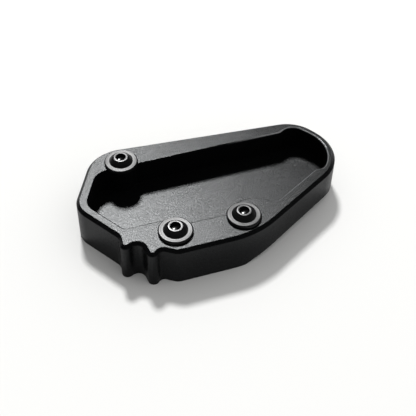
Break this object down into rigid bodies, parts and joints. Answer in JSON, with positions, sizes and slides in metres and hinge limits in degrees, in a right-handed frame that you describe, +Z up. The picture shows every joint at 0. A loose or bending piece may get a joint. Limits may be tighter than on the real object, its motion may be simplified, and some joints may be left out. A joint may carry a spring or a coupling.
{
  "type": "kickstand foot enlarger",
  "caption": "Machined plate with a deep pocket that takes a motorbike's side stand foot, held down by button head screws with wide washers.",
  "frame": {"origin": "centre of the bounding box's bottom, on the ground face", "axes": "+X along the straight back edge, from the nose to the round end; +Y from the teeth towards the straight back edge; +Z up, out of the pocket"},
  "size_m": [0.12, 0.0683, 0.0231],
  "materials": {
    "body": "bead blasted and black anodised",
    "washer": "turned and black anodised",
    "screw": "black oxide, polished"
  },
  "bodies": {
    "root": {"body": "body", "washer_back_left": "washer", "washer_front_left": "washer", "washer_front_right": "washer", "screw_back_left": "screw", "screw_front_left": "screw", "screw_front_right": "screw"}
  },
  "joints": []
}
